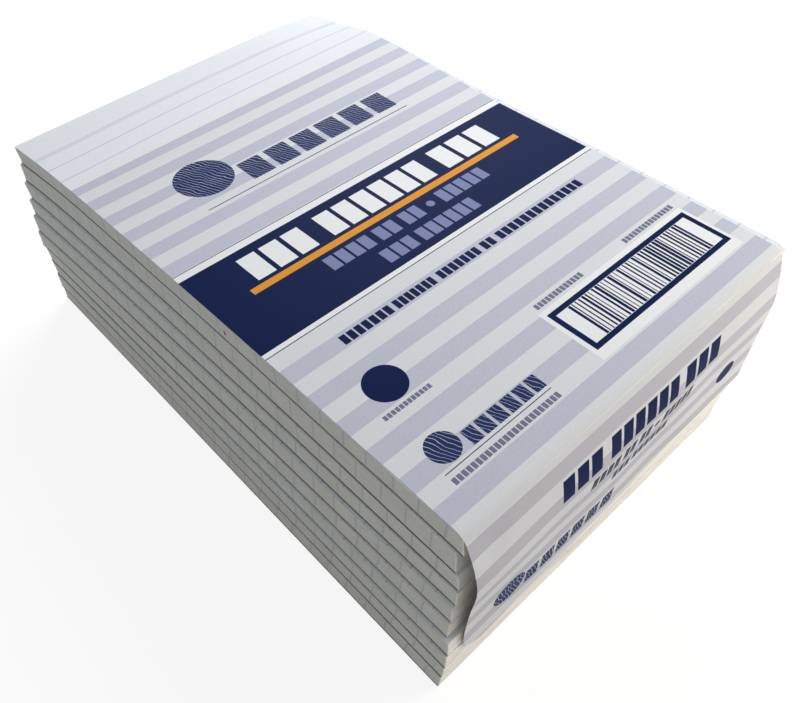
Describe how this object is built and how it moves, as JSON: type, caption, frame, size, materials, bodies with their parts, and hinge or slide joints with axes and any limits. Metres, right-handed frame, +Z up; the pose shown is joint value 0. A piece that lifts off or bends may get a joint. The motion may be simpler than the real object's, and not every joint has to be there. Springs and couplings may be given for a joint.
{
  "type": "wrapped block of writing pads",
  "caption": "Block of ruled writing pads with grey backing boards and glued near ends, under one striped paper wrapper folded down over the glued ends.",
  "frame": {"origin": "centre of the flat face that the block rests on", "axes": "+X right and +Y towards the head of the sheets, seen from above with the glued end nearest; +Z up"},
  "size_m": [0.1307, 0.2055, 0.0735],
  "materials": {
    "ruled_paper": "uncoated white bank paper with faint blue rules; cut edges greyish",
    "grey_board": "unlined grey board",
    "padding_glue": "dried cream padding compound, slightly uneven",
    "wrapper_paper": "smooth white paper printed with pale lavender stripes and a navy band with an orange rule"
  },
  "bodies": {
    "root": {"pad_01_sheets": "ruled_paper", "pad_01_backing_board": "grey_board", "pad_01_glue_edge": "padding_glue", "pad_02_sheets": "ruled_paper", "pad_02_backing_board": "grey_board", "pad_02_glue_edge": "padding_glue", "pad_03_sheets": "ruled_paper", "pad_03_backing_board": "grey_board", "pad_03_glue_edge": "padding_glue", "pad_04_sheets": "ruled_paper", "pad_04_backing_board": "grey_board", "pad_04_glue_edge": "padding_glue", "pad_05_sheets": "ruled_paper", "pad_05_backing_board": "grey_board", "pad_05_glue_edge": "padding_glue", "pad_06_sheets": "ruled_paper", "pad_06_backing_board": "grey_board", "pad_06_glue_edge": "padding_glue", "pad_07_sheets": "ruled_paper", "pad_07_backing_board": "grey_board", "pad_07_glue_edge": "padding_glue", "pad_08_sheets": "ruled_paper", "pad_08_backing_board": "grey_board", "pad_08_glue_edge": "padding_glue", "pad_09_sheets": "ruled_paper", "pad_09_backing_board": "grey_board", "pad_09_glue_edge": "padding_glue", "pad_10_sheets": "ruled_paper", "pad_10_backing_board": "grey_board", "pad_10_glue_edge": "padding_glue", "paper_wrapper": "wrapper_paper"}
  },
  "joints": []
}
